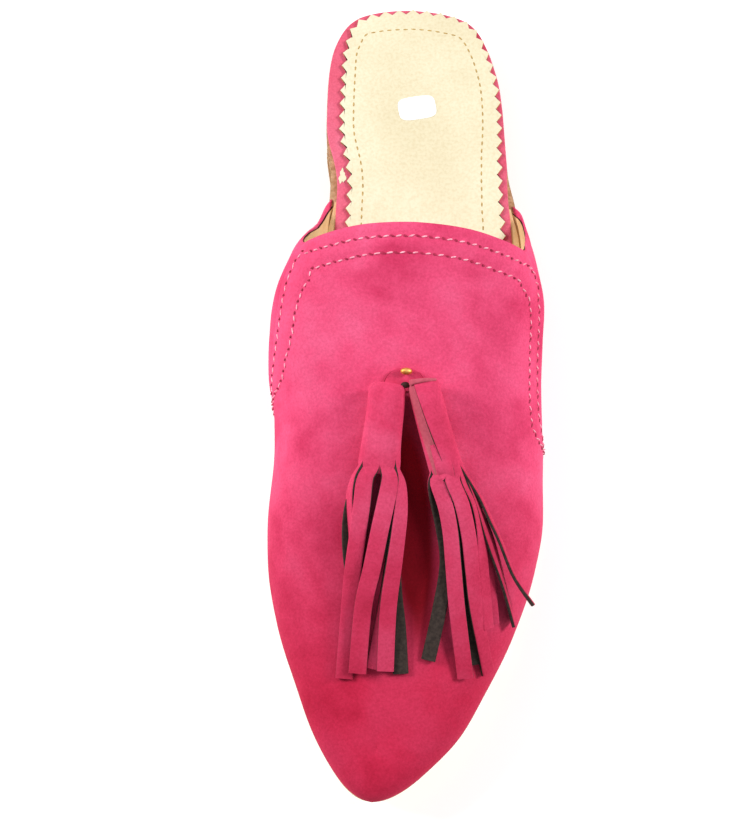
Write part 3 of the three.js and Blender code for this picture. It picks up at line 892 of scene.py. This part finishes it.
# The sock's cut edge round its teeth is painted tan: a painted shadow line along the teeth.
for face in sock.faces:
    if abs(face.normal.z) < 0.6:
        face.material_index = 1
finished("sock_leather", sock, [SOCK_LEATHER, TAN_THREAD_AND_EDGE_SHADE], replaces=("sock",))


def dash(place, run, normal, length, width, height):
    """A bead of thread pressed into what it sews: a flattened ball along the row."""
    part = bmesh.new()
    bmesh.ops.create_uvsphere(part, u_segments=8, v_segments=6, radius=0.5)
    side = normal.cross(run).normalized()
    turn = Matrix((run, side, normal)).transposed().to_4x4()
    scale = Matrix.Diagonal((length * MM, width * MM, height * MM, 1))
    bmesh.ops.transform(part, matrix=Matrix.Translation(place) @ turn @ scale, verts=part.verts[:])
    return part


SOCK_SEAM = table(  # in from the tips of the teeth
    "along medial lateral",
    (0, 8.0, 8.0), (8, 6.0, 6.6), (20, 4.8, 6.2), (40, 4.8, 6.4), (60, 5.2, 7.0), (80, 5.4, 7.4),
    (150, 5.4, 7.4),
)
SOCK_SEAM_END = 150  # under the vamp, out of sight
SOCK_PITCH, SOCK_STITCH = 2.8, (1.7, 0.55, 0.3)
sock_seam = on_sides(SOCK_SEAM)


def sock_seam_inset(along, sign):
    return sock_inset(along, sign) + sock_seam[sign](along)


seam_loop = [
    world(place.x, place.y, sock_top(place.y))
    for place, _ in inset_loop(sock_seam_inset, 500) if place.y < SOCK_SEAM_END
]
# The row is open under the vamp, so the loop is turned round to start at that gap.
start = max(range(len(seam_loop)), key=lambda k: (seam_loop[k] - seam_loop[k - 1]).length)
seam_loop = seam_loop[start:] + seam_loop[:start]
sock_stitches = [
    (dash(place, run, Vector((0, 0, 1)), *SOCK_STITCH), 0)
    for place, run in evenly(seam_loop, SOCK_PITCH)
]
finished("sock_stitches", joined(sock_stitches), [TAN_THREAD_AND_EDGE_SHADE])


STUCK_THICK = 0.1


def stuck_flat(across, along, size, turn, height, edge):
    """A thin flat piece lying on the insole: edge(turn) is its shape, as a share of its size."""
    piece = bmesh.new()
    bmesh.ops.create_circle(piece, cap_ends=True, segments=48, radius=1)
    bmesh.ops.translate(piece, vec=(0, 0, 1), verts=piece.verts[:])
    lowered = bmesh.ops.extrude_face_region(piece, geom=piece.faces[:], use_keep_orig=True)["geom"]
    lowered = [part for part in lowered if isinstance(part, bmesh.types.BMVert)]
    bmesh.ops.translate(piece, vec=(0, 0, -1), verts=lowered)
    c, s = math.cos(math.radians(turn)), math.sin(math.radians(turn))
    for vert in piece.verts:
        x, y = edge(math.atan2(vert.co.y, vert.co.x))
        x, y = x * size[0] / 2, y * size[1] / 2
        spot = along + x * s + y * c
        vert.co = world(across + x * c - y * s, spot, height(spot) + 0.02 + STUCK_THICK * vert.co.z)
    return closed_up(piece)


def powered(value, power):
    return math.copysign(abs(value) ** power, value)


def rounded(turn):
    return powered(math.cos(turn), 0.5), powered(math.sin(turn), 0.5)


def ragged(turn):
    size = 1 + 0.22 * math.sin(3 * turn + 0.6) + 0.14 * math.sin(7 * turn)
    return math.cos(turn) * size, math.sin(turn) * size


# A small blank paper label, stuck on the sock near the heel.
label = stuck_flat(3.6, 40.0, (12.8, 8.8), -12, sock_top, rounded)
finished("size_label_blank", label, [LABEL])
# Where the wrap is rubbed through on the inner side of the waist, the leather under it shows.
worn = stuck_flat(-20.3, 66.4, (2.2, 4.8), 0, insole_top, ragged)
finished("rim_worn_patch", worn, [SOCK_LEATHER])

# ---- the vamp's two rows of stitches ----
# Each thread, then the dark hole after it: how far on it is (a share of the pitch), how it is turned
# from the row, its length, width and height, and its material's number.
STITCH_MARKS = ((0, 16, 1.9, 0.55, 0.5, 0), (0.5, -26, 1.5, 0.7, 0.3, 1))
draw = random.Random(7)
vamp_stitches = []
for line in seams:
    for place, run in evenly(line, STITCH_PITCH, 2):
        for shift, turned, length, width, high, number in STITCH_MARKS:
            base, normal = on_worn(place + run * shift * STITCH_PITCH * MM)
            along_row = (run - normal * run.dot(normal)).normalized()
            slant = Matrix.Rotation(math.radians(turned + draw.uniform(-6, 6)), 3, normal) @ along_row
            length *= draw.uniform(0.85, 1.15)
            stitch = dash(base + normal * 0.08 * MM, slant, normal, length, width, high)
            vamp_stitches.append((stitch, number))
finished("vamp_stitches", joined(vamp_stitches), [PINK_THREAD, STITCH_HOLE_AND_SHADOW_LINE])

# ---- tassels ----
# The rolled heads. The outer side's roll ends in a cut edge that winds round it (turn in degrees
# from the top of the head, and how far the last layer steps down there).
HEADS = {
    "medial": table(
        "along across width thick",
        (150.8, -0.9, 10.4, 6.4), (152.2, -1.0, 11.1, 7.4), (157, -1.2, 11.2, 8.0),
        (162, -1.6, 11.4, 8.2), (168, -2.1, 12.0, 8.2), (172, -2.3, 12.6, 8.0), (174, -2.4, 12.0, 7.3),
    ),
    "lateral": table(
        "along across width thick",
        (149.8, 9.0, 9.4, 6.4), (151.2, 9.4, 10.0, 7.4), (156, 10.9, 10.1, 8.0),
        (162, 12.9, 10.2, 8.2), (168, 15.1, 10.4, 8.2), (172, 16.6, 10.6, 7.9), (174, 17.4, 9.8, 7.0),
    ),
}
ROLLS = {"medial": (160, 160, 0.05), "lateral": (-34, -4, 0.13)}
# The strands: how far round the head each leaves it (degrees from its top, outwards), how wide it
# is, how it is rolled at its middle and at its tip, and the places that it passes (across, along,
# lift over the vamp). Past 90 degrees its dark back is up.
STRANDS = {
    "medial": table(
        "turn width roll tip_roll path",
        (-84, 4.4, -62, -30, ((-9.4, 176.5, 5.2), (-10.3, 182, 4.6), (-9.6, 190, 3.4), (-8.9, 199, 2.2),
         (-8.6, 210, 1.0))),
        (-27, 5.2, -12, 0, ((-6.2, 177, 7.2), (-6.8, 184.1, 6.6), (-7.6, 192, 5.0), (-8.6, 202, 3.4),
         (-9.2, 215, 2.1), (-9.8, 231.5, 1.2))),
        (34, 5.2, 4, 0, ((1.0, 177, 7.4), (-0.1, 184, 7.2), (-1.4, 191, 6.6), (-3.1, 201, 5.4),
         (-5.2, 212, 4.0), (-6.0, 230, 2.4))),
        (86, 5.0, 34, 4, ((4.0, 177, 5.0), (4.3, 183, 5.2), (4.0, 190, 5.2), (3.2, 199, 4.6),
         (2.0, 212, 3.4), (2.0, 229, 1.9))),
        (120, 4.6, 30, 0, ((3.4, 180, 2.6), (3.2, 192, 2.6), (2.0, 204, 2.2), (0.6, 216, 1.8),
         (-1.4, 228.5, 1.2))),
        (150, 4.6, 176, 182, ((2.4, 182, 1.6), (2.6, 196, 1.6), (3.6, 207, 1.4), (5.2, 217, 1.1),
         (6.5, 229.4, 0.8))),
        (-130, 4.0, 196, 180, ((-8.8, 179, 3.0), (-10.2, 185, 2.8), (-10.4, 192, 2.6), (-9.2, 201, 2.0),
         (-6.0, 214, 1.2))),
    ),
    "lateral": table(
        "turn width roll tip_roll path",
        (-100, 4.2, 186, 178, ((13.6, 178, 3.6), (16.6, 188, 3.2), (18.4, 198, 2.6), (16.9, 211, 2.0),
         (14.3, 225.2, 1.0))),
        (-36, 4.8, -24, -8, ((14.6, 176.5, 6.2), (17.2, 183, 6.4), (19.0, 190, 5.8), (20.3, 199, 5.2),
         (22.0, 211, 4.2), (25.4, 229.6, 2.4))),
        (-10, 5.0, 176, 178, ((18.6, 178.6, 3.8), (21.4, 188, 3.8), (22.8, 197, 3.3), (24.6, 208, 2.7),
         (28.3, 225.3, 1.2))),
        (20, 4.6, 14, 34, ((18.8, 176.5, 7.5), (21.8, 182.6, 7.2), (24.2, 190.9, 6.4), (25.6, 199.3, 5.6),
         (27.6, 211, 4.4), (32.0, 227.4, 2.2))),
        (68, 4.4, 46, 40, ((22.6, 176.5, 5.6), (25.9, 182, 5.4), (27.8, 189, 5.0), (28.8, 198, 4.4),
         (31.4, 215.2, 2.6))),
        (110, 4.2, 30, 10, ((24.4, 182, 3.2), (28.6, 192.6, 2.6), (30.8, 201, 2.0), (32.8, 213.5, 1.1))),
        (92, 4.4, 52, 80, ((26.2, 181.5, 4.2), (29.4, 188, 4.2), (32.2, 194.4, 3.8), (35.4, 202.4, 3.3),
         (39.2, 212.9, 3.0))),
        (80, 3.8, 72, 82, ((26.9, 179.4, 4.6), (30.6, 185.7, 4.8), (33.8, 191.2, 5.0), (38.4, 200.4, 6.0),
         (44.2, 207.6, 7.8))),
    ),
}
STRAND_THICK, FRINGE_START = 1.25, 165.5
HEAD_ROUND, WRAP = 60, 354  # places round a head, and degrees round it to the step of its last layer


def through(points, share):
    """A smooth line through points, at a share of its length of spans."""
    place = share * (len(points) - 1)
    k = min(int(place), len(points) - 2)
    t = place - k
    a, b, c, d = (points[clamp(k + i, 0, len(points) - 1)] for i in (-1, 0, 1, 2))
    return 0.5 * (
        2 * b + (c - a) * t + (2 * a - 5 * b + 4 * c - d) * t ** 2
        + (3 * b - a - 3 * c + d) * t ** 3
    )


def over_vamp(spot):
    return world(spot[0], spot[1], vamp_height(spot[0], spot[1]) + spot[2])


def frame_on(line, share, roll=0.0):
    """Where a line is at a share of it, with its sideways and upwards direction."""
    run = (line(min(share + 0.01, 1)) - line(max(share - 0.01, 0))).normalized()
    side = Matrix.Rotation(roll, 3, run) @ run.cross(Vector((0, 0, 1))).normalized()
    return line(share), side, side.cross(run).normalized()


def swept(line, around, section, roll=lambda share: 0.0, steps=36, paint=None, cap=0):
    """A bar along a line: section(u, share) gives its shape sideways and upwards, in mm."""
    frames = [frame_on(line, k / steps, roll(k / steps)) for k in range(steps + 1)]

    def put(u, v, back):
        spot, side, up = frames[round(v * steps)]
        sideways, upwards = section(u, v)
        return spot + (side * sideways + up * upwards) * MM

    return closed_up(grid(around, steps, put, closed=True, paint=paint), cap)


def head_line(side):
    rows = HEADS[side]
    sizes = {key: column(rows, key) for key in ("across", "width", "thick")}

    def line(share):
        along = mix(rows[0]["along"], rows[-1]["along"], share)
        return over_vamp((sizes["across"](along), along, 0.4 + sizes["thick"](along) / 2))

    return line, sizes, rows[0]["along"], rows[-1]["along"]


def head(side):
    """A rolled head: round it, the outermost layer steps down to the one under it."""
    line, sizes, first, last = head_line(side)
    turn_start, turn_end, step = ROLLS[side]

    def section(u, share):
        along = mix(first, last, share)
        k = round((u + 1) / 2 * HEAD_ROUND) % HEAD_ROUND
        turn = math.radians(mix(turn_start, turn_end, share) + WRAP * k / (HEAD_ROUND - 1))
        size = 1 - step * k / (HEAD_ROUND - 1)
        wide, high = sizes["width"](along) / 2, sizes["thick"](along) / 2
        return -math.sin(turn) * wide * size, math.cos(turn) * high * size

    def paint(u, share):
        return 2 if u > 1 - 2 / HEAD_ROUND else 3 if step > 0.1 and u > 0.72 else 0

    return swept(line, HEAD_ROUND, section, steps=40, paint=paint)


def strand(side, row):
    line, sizes, first, last = head_line(side)
    turn = math.radians(row["turn"])
    turn_start, turn_end, step = ROLLS[side]
    under = 1 - step * ((row["turn"] - mix(turn_start, turn_end, 0.8)) % 360) / 360
    points = []
    for along, sunk in ((FRINGE_START, 0.7), (169, 0.45), (172.5, 0.15)):
        spot, sideways, upwards = frame_on(line, (along - first) / (last - first))
        wide, high = sizes["width"](along) / 2, sizes["thick"](along) / 2
        shrink = under - (STRAND_THICK / 2 + sunk) / high
        off = -sideways * math.sin(turn) * wide + upwards * math.cos(turn) * high
        points.append(spot + off * shrink * MM)
    points += [over_vamp(spot) for spot in row["path"]]
    leaving = math.degrees(math.atan2(math.sin(turn) / wide, math.cos(turn) / high))
    if row["roll"] > 150 and leaving < 0:
        leaving += 360
    on_head = 2 / (len(points) - 1)

    def rolled(share):
        free = mix(leaving, row["roll"], smooth(on_head * 0.8, 0.62, share))
        return -math.radians(mix(free, row["tip_roll"], smooth(0.62, 1, share)))

    def section(u, share):
        width = row["width"] * mix(0.9, 1, smooth(0, 0.3, share)) / 2
        thick = STRAND_THICK / 2
        c, s = math.cos(math.pi * u), math.sin(math.pi * u)
        cup = 0.35 * (1 - abs(c)) * (1 - share)
        return powered(c, 0.35) * width, powered(s, 0.5) * thick + cup

    return swept(
        lambda share: through(points, share), 20, section, rolled,
        paint=lambda u, share: 0 if math.sin(math.pi * u) > 0.45 else 1, cap=1,
    )


for side, rows in STRANDS.items():
    parts = [(head(side), None)] + [(strand(side, row), None) for row in rows]
    finished(
        "tassel_%s_fringe" % side, joined(parts), [FRINGE_SUEDE, STRAND_BACK, DARK_CEMENT_AND_SHADE, ROLL_EDGE],
        60, replaces=("tassel_" + side,),
    )

# ---- the patch, knot and bead that hold the tassels ----
TAB_ACROSS, TAB_ALONG, TAB_REACH, TAB_BACK = 3.9, 151.0, 6.2, 6.2
TAB_THICK, TAB_CLEFT, TAB_SHADOW_LINE = 0.9, 0.8, (0.25, 0.14)


def tab_at(spare, thick):
    """Two round lobes behind the knot, one on each side of the bead."""
    def put(u, v, back):
        lobe = math.sqrt(max(1 - abs(u) ** 2.4, 0)) * TAB_BACK + spare
        lobe -= TAB_CLEFT * math.exp(-(u / 0.16) ** 2)
        across = TAB_ACROSS + u * (TAB_REACH + spare)
        swell = 0.8 * thick * math.sin(math.pi * min(v, 0.8)) * (1 - u * u)
        return on_worn(
            over_vamp((across, TAB_ALONG - lobe * v, 0)), 0.02 if back else thick + swell
        )[0]
    return put


tab = closed_up(grid(36, 10, tab_at(0, TAB_THICK), thick=True))
# A dark sheet under the tab, a little larger than it: a painted shadow line round the tab's edge.
tab_shadow_line = closed_up(grid(36, 10, tab_at(*TAB_SHADOW_LINE), thick=True))
finished(
    "tassel_tab", joined([(tab, 0), (tab_shadow_line, 1)]), [FRINGE_SUEDE, STITCH_HOLE_AND_SHADOW_LINE],
    replaces=("tassel_patch",),
)


def ball(make, at, lift, radius, shape, **detail):
    """A ball over a place on the vamp, stretched or flattened by its shape."""
    made = bmesh.new()
    make(made, radius=radius * MM, **detail)
    spot = on_vamp(over_vamp((*at, 0)), lift)[0]
    matrix = Matrix.Translation(spot) @ Matrix.Diagonal((*shape, 1))
    bmesh.ops.transform(made, matrix=matrix, verts=made.verts[:])
    return made


bead = ball(
    bmesh.ops.create_uvsphere, (4.2, 146.2), 2.4, 1.5, (1.15, 0.7, 0.75), u_segments=24, v_segments=14
)
finished("brass_bead", bead, [BRASS], replaces=("bead",))
knot = ball(bmesh.ops.create_icosphere, (4.1, 150.6), 4.6, 1.0, (1.3, 0.9, 1.0), subdivisions=3)
finished("tassel_knot", knot, [DARK_CEMENT_AND_SHADE])

# The cut end of the outer side's roll, folded back over the top of its head.
FOLD = ((5.3, 150.3, 5.8), (7.2, 150.2, 7.2), (10.0, 149.7, 7.2), (12.8, 149.0, 5.8))


def fold_section(u, share):
    return math.cos(math.pi * u) * mix(0.9, 0.4, share), math.sin(math.pi * u) * 0.35


finished(
    "roll_fold",
    swept(lambda share: through([over_vamp(spot) for spot in FOLD], share), 12, fold_section, steps=20),
    [ROLL_EDGE],
)

# ---- floor, light and camera ----
def light_table():
    """White acrylic, lit a little from inside: it stays even and nearly white under the shoe."""
    acrylic, bsdf, place = started(
        "white_acrylic_table", Roughness=0.9, Specular_IOR_Level=0.1, Emission_Color="#FFFFFF",
        Emission_Strength=0.2,
    )
    cloud = noise(acrylic, place, 400, 1.0)
    return dressed(acrylic, bsdf, ramp(acrylic, cloud, (0.3, "#F0F0F0"), (0.7, "#F4F4F4")))


FLOOR_REACH, SKY_STRENGTH = 4, 0.42
floor_mesh = bmesh.new()
bmesh.ops.create_grid(floor_mesh, x_segments=1, y_segments=1, size=FLOOR_REACH)
floor = modelled("floor", floor_mesh, [light_table()])


LIT_PLACE = Vector((0, 0.02, 0.03))


def lamp(name, place, size, power):
    light = bpy.data.lights.new(name, "AREA")
    light.shape, light.size, light.energy = "DISK", size, power
    made = linked(name, light)
    made.location = place
    made.rotation_euler = (LIT_PLACE - Vector(place)).to_track_quat("-Z", "Y").to_euler()


lamp("key", (0.78, 0.16, 0.60), 0.30, 8.3)
lamp("fill", (-0.78, 0.16, 0.56), 0.34, 9.0)

sky = bpy.data.worlds.new("studio")
sky.use_nodes = True
background = sky.node_tree.nodes["Background"]
background.inputs[0].default_value = (1, 1, 1, 1)
background.inputs[1].default_value = SKY_STRENGTH
bpy.context.scene.world = sky
bpy.context.scene.view_settings.view_transform = "Standard"

# The camera looks down on the shoe from over its toe, turned a little.
CAMERA_ACROSS, CAMERA_ALONG, CAMERA_HEIGHT = 5.4, 263.6, 392.3
CAMERA_TURN = (17.16, 0.72, 2.92)  # degrees about X, Y and Z, from looking straight down
CAMERA_LENS = 59.6
camera_data = bpy.data.cameras.new("camera")
camera_data.sensor_fit, camera_data.sensor_width = "HORIZONTAL", 36
camera_data.lens = CAMERA_LENS
camera_data.clip_start = 0.01
camera = linked("camera", camera_data)
bpy.context.scene.camera = camera
camera.location = world(CAMERA_ACROSS, CAMERA_ALONG, CAMERA_HEIGHT)
camera.rotation_euler = [math.radians(angle) for angle in CAMERA_TURN]
